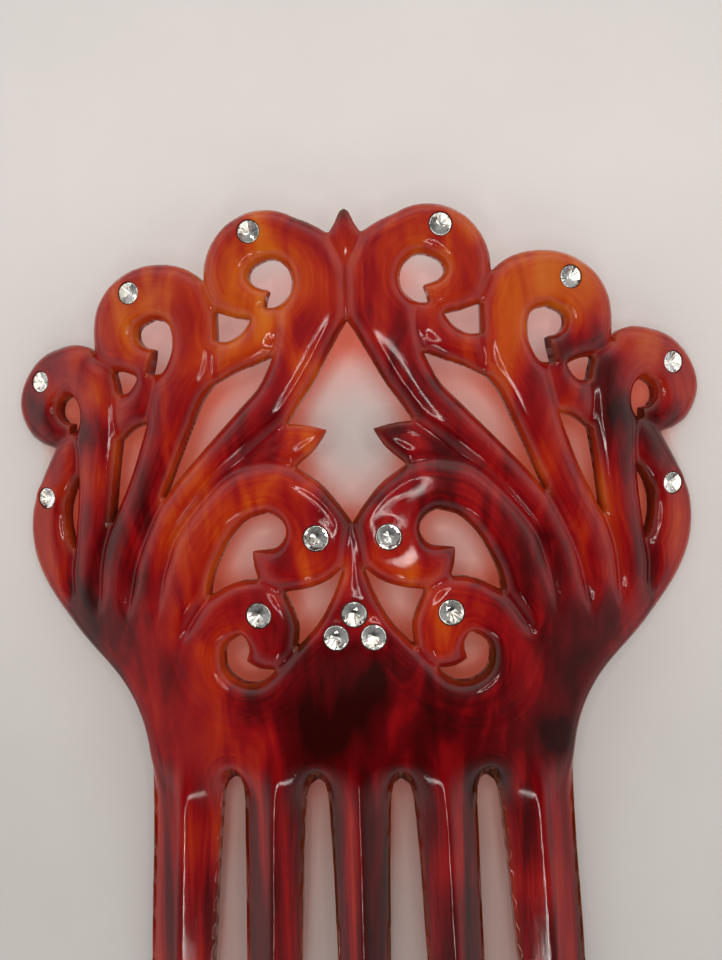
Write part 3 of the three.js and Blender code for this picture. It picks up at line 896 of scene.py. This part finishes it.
def mixed(tree, factor, a, b):
    """a where the factor is 0 and b where it is 1, for colours."""
    node = add_node(tree, "ShaderNodeMix", data_type="RGBA")
    for key, value in (("Factor_Float", factor), ("A_Color", a), ("B_Color", b)):
        socket = next(s for s in node.inputs if s.identifier == key)
        connect(tree, value, socket)
    return next(s for s in node.outputs if s.identifier == "Result_Color")


def bump(tree, height, strength, distance, normal=None):
    inputs = {"Height": height, "Strength": strength, "Distance": distance}
    if normal:
        inputs["Normal"] = normal
    return add_node(tree, "ShaderNodeBump", inputs).outputs["Normal"]


def combined(tree, x, y, z):
    return add_node(tree, "ShaderNodeCombineXYZ", {"X": x, "Y": y, "Z": z}).outputs[0]


def along_carving(tree, across, x, y, across_scale, x_scale, y_scale):
    """A place for noise that changes fast away from the edges and slowly along them."""
    return combined(tree, maths(tree, "MULTIPLY", across, across_scale), maths(tree, "MULTIPLY", x, x_scale),
                    maths(tree, "MULTIPLY", y, y_scale))


def tortoiseshell():
    """Mottled celluloid: crimson, near-black swirls and amber clouds, finely streaked along the carving."""
    material, tree = new_material("tortoiseshell")
    flat = attribute(tree, "flat", vector=True)
    across = attribute(tree, "across")
    tone = attribute(tree, "tone")
    apart = add_node(tree, "ShaderNodeSeparateXYZ", {"Vector": flat})
    x, y = apart.outputs["X"], apart.outputs["Y"]
    on_teeth = ranged(tree, y, 6.0, -8.0)
    broad = ranged(tree, across, 2.5, 6.0)

    # How amber the celluloid is: clouds and swirls over the ornament, long strands down the teeth.
    clouds = noise(tree, stretched(tree, flat, (0.06, 0.035, 0.1)), 1.0, 2.0, 0.5, 0.8)
    swirls = noise(tree, stretched(tree, flat, (0.17, 0.06, 0.2), (7, 3, 0)), 1.0, 3.0, 0.45, 1.2)
    strands = noise(tree, stretched(tree, flat, (0.3, 0.014, 0.2), (2, 9, 0)), 1.0, 3.0, 0.5, 0.5)
    streaks = noise(tree, along_carving(tree, across, x, y, 0.8, 0.06, 0.04), 2.0, 4.0, 0.6, 0.4)
    cloudy = maths(tree, "ADD", maths(tree, "MULTIPLY", clouds, 0.75), maths(tree, "MULTIPLY", swirls, 0.5))
    stranded = maths(tree, "ADD", maths(tree, "MULTIPLY", strands, 0.9), 0.175)
    pattern = blended(tree, on_teeth, cloudy, stranded)
    streaks = blended(tree, broad, streaks, 0.5)
    amount = maths(tree, "ADD", pattern, maths(tree, "MULTIPLY", streaks, 0.26))
    amount = maths(tree, "ADD", maths(tree, "SUBTRACT", amount, 0.29), maths(tree, "MULTIPLY", tone, 0.42))
    colour = ramp(tree, amount, [
        (0.22, (0.025, 0.0012, 0.001)),
        (0.37, (0.1, 0.0015, 0.003)),
        (0.5, (0.27, 0.004, 0.006)),
        (0.62, (0.4, 0.022, 0.005)),
        (0.78, (0.54, 0.085, 0.006)),
        (0.94, (0.6, 0.16, 0.012)),
    ])

    # Painted light: thin edges are painted amber, as if light came through them, and the sawn walls are
    # painted dark as shade.
    edge = ranged(tree, attribute(tree, "from_edge"), 0.0, 0.9, 0.45, 0.0)
    colour = mixed(tree, maths(tree, "MULTIPLY", edge, clouds), colour, (0.3, 0.09, 0.012, 1))
    shaded = maths(tree, "MULTIPLY", attribute(tree, "deep"), 0.8)
    colour = mixed(tree, shaded, colour, (0.02, 0.006, 0.003, 1))

    # Polish with smudges, the marks of scraping along the carving, and small dents.
    smudges = noise(tree, flat, 0.35, 4.0, 0.6)
    grain = along_carving(tree, across, x, y, 3.2, 0.05, 0.04)
    combing = blended(tree, broad, noise(tree, grain, 3.0, 2.0, 0.6), 0.5)
    dents = noise(tree, flat, 2.6, 3.0, 0.6)
    normal = bump(tree, combing, 0.2, 0.00003)
    normal = bump(tree, dents, 0.12, 0.00003, normal)
    return dressed(material, {
        "Base Color": colour,
        "Roughness": ranged(tree, smudges, 0.35, 0.75, 0.05, 0.12),
        "Normal": normal,
        "IOR": 1.5,
        "Specular IOR Level": 0.3,
        "Subsurface Weight": 0.1,
        "Subsurface Radius": (1.0, 0.2, 0.08),
        "Subsurface Scale": 0.001,
    })


def clear_glass():
    """Pressed glass with faint wear, so that each facet keeps a clean edge but isn't perfectly even."""
    material, tree = new_material("clear_glass")
    place = add_node(tree, "ShaderNodeTexCoord").outputs["Object"]
    tint = noise(tree, place, 260.0, 2.0)
    colour = ramp(tree, tint, [(0.3, (0.97, 0.98, 0.98)), (0.75, (0.93, 0.91, 0.86))])
    wear = noise(tree, place, 2400.0, 3.0)
    return dressed(material, {
        "Base Color": colour,
        "Roughness": ranged(tree, wear, 0.45, 0.8, 0.0, 0.06),
        "Normal": bump(tree, wear, 0.05, 0.00001),
        "IOR": 1.55,
        "Transmission Weight": 1.0,
    })


def silver_foil():
    """Silvering, dulled unevenly. Painted light: some facets are given a painted glow, standing in for light
    gathered from the room, and some stay dark.
    """
    material, tree = new_material("silver_foil")
    place = add_node(tree, "ShaderNodeTexCoord").outputs["Object"]
    tarnish = noise(tree, place, 900.0, 4.0, 0.6, 0.5)
    colour = ramp(tree, tarnish, [
        (0.3, (0.98, 0.97, 0.95)),
        (0.6, (0.86, 0.84, 0.77)),
        (0.85, (0.45, 0.4, 0.3)),
    ])
    dulling_and_glow = ranged(tree, attribute(tree, "dulling_and_glow"), 0.35, 0.75, 0.04, 0.7)
    worn = maths(tree, "MULTIPLY", tarnish, 0.15)
    # Painted light: the duller facets are made to glow, standing in for light the stone gathers from the
    # room.
    painted_foil_glow = ranged(tree, attribute(tree, "dulling_and_glow"), 0.4, 0.75, 0.0, 1.4)
    painted_foil_glow = maths(tree, "MULTIPLY", painted_foil_glow, ranged(tree, tarnish, 0.3, 0.8, 1.0, 0.55))
    return dressed(material, {
        "Base Color": colour,
        "Roughness": maths(tree, "ADD", dulling_and_glow, worn),
        "Normal": bump(tree, tarnish, 0.15, 0.00001),
        "Metallic": 1.0,
        "Emission Color": (1.0, 0.98, 0.93, 1),
        "Emission Strength": painted_foil_glow,
    })


def jewellers_cement():
    """Dark gritty cement that looks nearly black round the stones."""
    material, tree = new_material("jewellers_cement")
    place = add_node(tree, "ShaderNodeTexCoord").outputs["Object"]
    grit = noise(tree, place, 3000.0, 4.0, 0.7)
    colour = ramp(tree, grit, [(0.35, (0.012, 0.005, 0.004)), (0.7, (0.05, 0.02, 0.014))])
    return dressed(material, {
        "Base Color": colour,
        "Roughness": ranged(tree, grit, 0.3, 0.8, 0.45, 0.8),
        "Normal": bump(tree, grit, 0.4, 0.00003),
    })


def pale_floor():
    """Painted board: warm grey and faintly uneven. Painted light: it is painted darker near and lighter far
    off, and painted rosy with a painted glow where light through the comb would fall.
    """
    material, tree = new_material("pale_floor")
    place = add_node(tree, "ShaderNodeTexCoord").outputs["Object"]
    y = add_node(tree, "ShaderNodeSeparateXYZ", {"Vector": place}).outputs["Y"]
    rosy = attribute(tree, "rosy")
    glow = attribute(tree, "glow")
    patches = noise(tree, place, 22.0, 5.0, 0.6)
    # Painted shade: the board is painted darker at the near end and lighter at the far end, over its faint
    # real unevenness.
    far_end = ranged(tree, y, 0.0, 0.1)
    uneven_shaded_near_floor = ramp(tree, patches, [(0.3, (0.71, 0.68, 0.66)), (0.7, (0.75, 0.72, 0.7))])
    uneven_lit_far_floor = ramp(tree, patches, [(0.3, (0.92, 0.885, 0.865)), (0.7, (0.97, 0.93, 0.91))])
    colour = mixed(tree, far_end, uneven_shaded_near_floor, uneven_lit_far_floor)
    # Painted light: a rosy tint, a deeper red close under the edges, and a painted glow where light through
    # the comb would fall.
    rosy_light_tint = mixed(tree, far_end, (0.78, 0.54, 0.49, 1), (0.86, 0.56, 0.53, 1))
    colour = mixed(tree, rosy, colour, rosy_light_tint)
    colour = mixed(tree, glow, colour, (0.7, 0.15, 0.08, 1))
    light = mixed(tree, rosy, (0.25, 0.22, 0.21, 1), (0.9, 0.35, 0.28, 1))
    light = mixed(tree, glow, light, (1.0, 0.1, 0.03, 1))
    return dressed(material, {
        "Base Color": colour,
        "Roughness": ranged(tree, patches, 0.2, 0.8, 0.5, 0.65),
        "Normal": bump(tree, noise(tree, place, 260.0, 4.0), 0.2, 0.0002),
        "Emission Color": light,
        "Emission Strength": maths(tree, "MULTIPLY", attribute(tree, "through"), 0.2),
    })


# ---------------- stage, light and camera

FLOOR_CELL = 1.5
ROSY_SPREAD = 7.0  # how far the painted rosy light of the comb reaches over the floor
GLOW_SPREAD = 3.0


def blurred(field, spread):
    """The field spread over the floor by a bell curve this many millimetres wide."""
    reach = ceil(3 * spread / FLOOR_CELL)
    kernel = np.exp(-((np.arange(-reach, reach + 1) * FLOOR_CELL / spread) ** 2) / 2)
    kernel /= kernel.sum()
    for axis in (0, 1):
        field = np.apply_along_axis(lambda row: np.convolve(row, kernel, "same"), axis, field)
    return field


def make_floor(material):
    """A floor that is fine near the comb, where it carries the painted coloured light, and coarse far from
    it.

    The attributes are painted light: through is how strongly the floor under the comb is made to glow, rosy
    is how far the comb's light is painted over the floor, and glow is the deeper red painted close under the
    edges.
    """
    near = np.arange(-100.5, 102, FLOOR_CELL)
    far = np.array([-1500, -600, -300, -180, -130])
    lines = np.concatenate([far, near, -far[::-1]])
    x, y = np.meshgrid(lines, lines)
    flat_x = BOW_RADIUS * np.arcsin(np.clip(near / BOW_RADIUS, -1, 1))
    arch = chained(HALF_ARCH, mirrored(HALF_ARCH))
    outlines = [silhouette(), arch, *RIGHT_OPENINGS, *(mirrored(opening) for opening in RIGHT_OPENINGS)]
    covered = inside(flat_x, near, outlines).astype(float)
    inner = slice(len(far), len(far) + len(near))
    wide = blurred(covered, ROSY_SPREAD)
    ornament = smoothstep(-20, 25, near)[:, None]
    fields = {name: np.zeros(x.shape) for name in ("through", "rosy", "glow")}
    away_from_arch = smoothstep(4, 12, np.abs(near))[None, :]
    raised = 1 - 0.7 * smoothstep(60, 68, near)[:, None] * away_from_arch
    # Painted light: masks for the rosy tint and the glow painted on the floor under and round the comb.
    fields["through"][inner, inner] = smoothstep(0.1, 0.5, wide) * (0.1 + 0.9 * ornament)
    fields["rosy"][inner, inner] = smoothstep(0.4, 0.72, wide) * raised
    close = 0.85 * smoothstep(0.38, 0.82, blurred(covered, GLOW_SPREAD))
    fields["glow"][inner, inner] = close * fields["rosy"][inner, inner]
    rows, columns = x.shape
    index = np.arange(rows * columns).reshape(rows, columns)
    quads = np.stack([index[:-1, :-1], index[:-1, 1:], index[1:, 1:], index[1:, :-1]], -1)
    mesh = bpy.data.meshes.new("floor")
    points = np.column_stack([x.ravel() * MM, y.ravel() * MM, np.zeros(x.size)])
    mesh.from_pydata(points.tolist(), [], quads.reshape(-1, 4).tolist())
    for name, field in fields.items():
        paint(mesh, name, field.ravel())
    mesh.materials.append(material)
    floor = bpy.data.objects.new("floor", mesh)
    bpy.context.scene.collection.objects.link(floor)


# The camera looks almost straight down. Its place is on the flat layout, over the back face of the plate.
CAMERA_PLACE = (6.26, 50.0, 111.62)
CAMERA_TURN = (radians(-2.605), radians(2.39), radians(-1.572))
LENS = 26.7
LONG_SIDE = 36.0


def camera_matrix():
    turn_x, turn_y, turn_z = CAMERA_TURN
    turn = Matrix.Rotation(turn_z, 4, "Z") @ Matrix.Rotation(turn_y, 4, "Y")
    turn = turn @ Matrix.Rotation(turn_x, 4, "X")
    return Matrix.Translation(PLACE @ Vector(CAMERA_PLACE)) @ lean_matrix() @ turn


def make_camera():
    data = bpy.data.cameras.new("camera")
    data.lens = LENS
    data.sensor_width = LONG_SIDE
    data.clip_start = 0.005
    camera = bpy.data.objects.new("camera", data)
    camera.matrix_world = camera_matrix()
    bpy.context.scene.collection.objects.link(camera)
    bpy.context.scene.camera = camera


# Lights, in millimetres in the camera's own frame. Both lie square to its line of sight.
RING_RADIUS = 26.0
RING_WIDTH = 2.5
RING_STEPS = 72
GLOW_STRENGTH = 36.0
LAMP_X = -48
LAMP_ENDS = (-435, -720)  # along the camera's y
LAMP_WIDTH = 14.0
LAMP_BEHIND = 450  # distance behind the lens


def make_ring_light():
    """A thin ring round the lens and a long lamp behind it. They draw fine lines on the polished crests."""
    material = bpy.data.materials.new("ring_light")
    material.use_nodes = True
    tree = material.node_tree
    tree.nodes.clear()
    glow = add_node(tree, "ShaderNodeEmission", {"Color": (1.0, 0.93, 0.88, 1), "Strength": GLOW_STRENGTH})
    out = tree.nodes.new("ShaderNodeOutputMaterial")
    tree.links.new(glow.outputs[0], out.inputs["Surface"])
    points = []
    faces = []
    count = 2 * RING_STEPS
    for k in range(RING_STEPS):
        for side in (-1, 1):
            points.append(polar((RING_RADIUS + side * RING_WIDTH / 2) * MM, 360 * k / RING_STEPS, 0))
        faces.append((2 * k, 2 * k + 1, (2 * k + 3) % count, (2 * k + 2) % count))
    high, low = LAMP_ENDS
    for side, y in ((-1, low), (1, low), (1, high), (-1, high)):
        points.append(((LAMP_X + side * LAMP_WIDTH / 2) * MM, y * MM, LAMP_BEHIND * MM))
    faces.append(tuple(range(count, count + 4)))
    mesh = bpy.data.meshes.new("ring_light")
    mesh.from_pydata(points, [], faces)
    mesh.materials.append(material)
    ring = bpy.data.objects.new("ring_light", mesh)
    ring.matrix_world = camera_matrix()
    ring.visible_camera = False
    bpy.context.scene.collection.objects.link(ring)


def make_world():
    """A room with pale walls, a dim floor and a dim ceiling, a little brighter beyond the scrolls."""
    world = bpy.data.worlds.new("studio")
    world.use_nodes = True
    tree = world.node_tree
    backdrop = tree.nodes["Background"]
    towards = add_node(tree, "ShaderNodeTexCoord").outputs["Generated"]
    apart = add_node(tree, "ShaderNodeSeparateXYZ", {"Vector": towards})
    level = ranged(tree, apart.outputs["Z"], 0.2, 0.85, 1.6, 0.2)
    level = maths(tree, "ADD", level, maths(tree, "MULTIPLY", apart.outputs["Y"], 0.4))
    level = maths(tree, "MULTIPLY", level, ranged(tree, apart.outputs["Z"], 0.05, 0.45, 0.35, 1.08))
    tree.links.new(level, backdrop.inputs["Strength"])
    backdrop.inputs["Color"].default_value = (1.0, 0.975, 0.95, 1)
    bpy.context.scene.world = world


def build():
    bpy.context.scene.view_settings.view_transform = "Standard"
    make_camera()
    make_comb(tortoiseshell())
    make_stones(clear_glass(), silver_foil(), jewellers_cement())
    make_floor(pale_floor())
    make_ring_light()
    make_world()


build()
